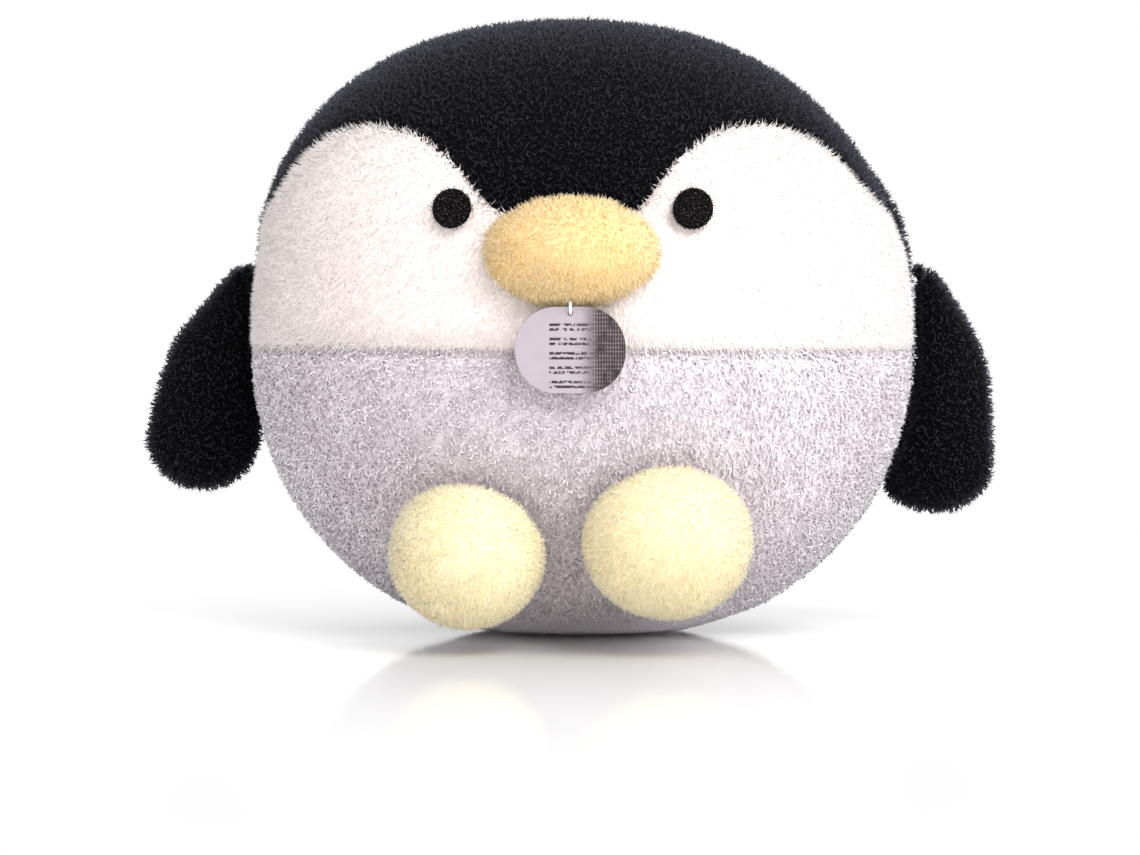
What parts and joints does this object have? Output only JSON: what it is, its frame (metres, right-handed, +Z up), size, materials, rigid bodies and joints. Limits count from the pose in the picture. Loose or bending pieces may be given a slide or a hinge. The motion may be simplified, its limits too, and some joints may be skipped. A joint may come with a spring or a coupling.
{
  "type": "plush penguin",
  "caption": "Round stuffed plush penguin chick that sits on a flat base, with a padded beak, ball feet, flippers that lift, and a card swing tag.",
  "frame": {"origin": "middle of the flat base, on the floor", "axes": "+Z up, -Y out of the face, +X to the penguin's own left"},
  "size_m": [0.349, 0.2479, 0.25],
  "materials": {
    "black_pile": "curly short pile, soft blue-grey sheen",
    "white_pile": "smooth short pile",
    "grey_pile": "tufted short pile, flecked",
    "yellow_pile": "fine short pile",
    "stuffing": "loose polyester fibre",
    "eye_thread": "dense satin stitching",
    "card": "matt printed card",
    "nylon": "smooth clear-white nylon"
  },
  "bodies": {
    "body": {"body_stuffing": "stuffing", "crown_panel": "black_pile", "face_panel": "white_pile", "belly_panel": "grey_pile", "left_back_panel": "black_pile", "right_back_panel": "black_pile", "base_panel": "grey_pile", "beak_upper_panel": "yellow_pile", "beak_lower_panel": "yellow_pile", "beak_stuffing": "stuffing", "left_eye": "eye_thread", "right_eye": "eye_thread", "left_foot_stem": "yellow_pile", "right_foot_stem": "yellow_pile", "left_flipper_seam": "black_pile", "right_flipper_seam": "black_pile"},
    "left_flipper": {"left_flipper_front": "black_pile", "left_flipper_back": "black_pile", "left_flipper_stuffing": "stuffing"},
    "right_flipper": {"right_flipper_front": "black_pile", "right_flipper_back": "black_pile", "right_flipper_stuffing": "stuffing"},
    "left_foot": {"left_foot_front": "yellow_pile", "left_foot_back": "yellow_pile", "left_foot_stuffing": "stuffing"},
    "right_foot": {"right_foot_front": "yellow_pile", "right_foot_back": "yellow_pile", "right_foot_stuffing": "stuffing"},
    "swing_tag": {"tag_card": "card", "tag_loop": "nylon"}
  },
  "joints": [
    {"name": "left_flipper_lift", "type": "hinge", "parent": "body", "child": "left_flipper", "pos_m": [0.13686, 0.008, 0.147], "axis": [0, -1, 0], "range_deg": [0, 75]},
    {"name": "right_flipper_lift", "type": "hinge", "parent": "body", "child": "right_flipper", "pos_m": [-0.13686, 0.008, 0.147], "axis": [0, 1, 0], "range_deg": [0, 75]},
    {"name": "left_foot_tilt", "type": "hinge", "parent": "body", "child": "left_foot", "pos_m": [0.0365, -0.08964, 0.044], "axis": [1, 0, 0], "range_deg": [-8, 8], "stiffness_Nm_per_rad": 0.15},
    {"name": "right_foot_tilt", "type": "hinge", "parent": "body", "child": "right_foot", "pos_m": [-0.0405, -0.08446, 0.038], "axis": [1, 0, 0], "range_deg": [-8, 8], "stiffness_Nm_per_rad": 0.15},
    {"name": "swing_tag_turn", "type": "hinge", "parent": "body", "child": "swing_tag", "pos_m": [0, -0.12, 0.13565], "axis": [-1, 0, 0], "range_deg": [0, 45]}
  ]
}
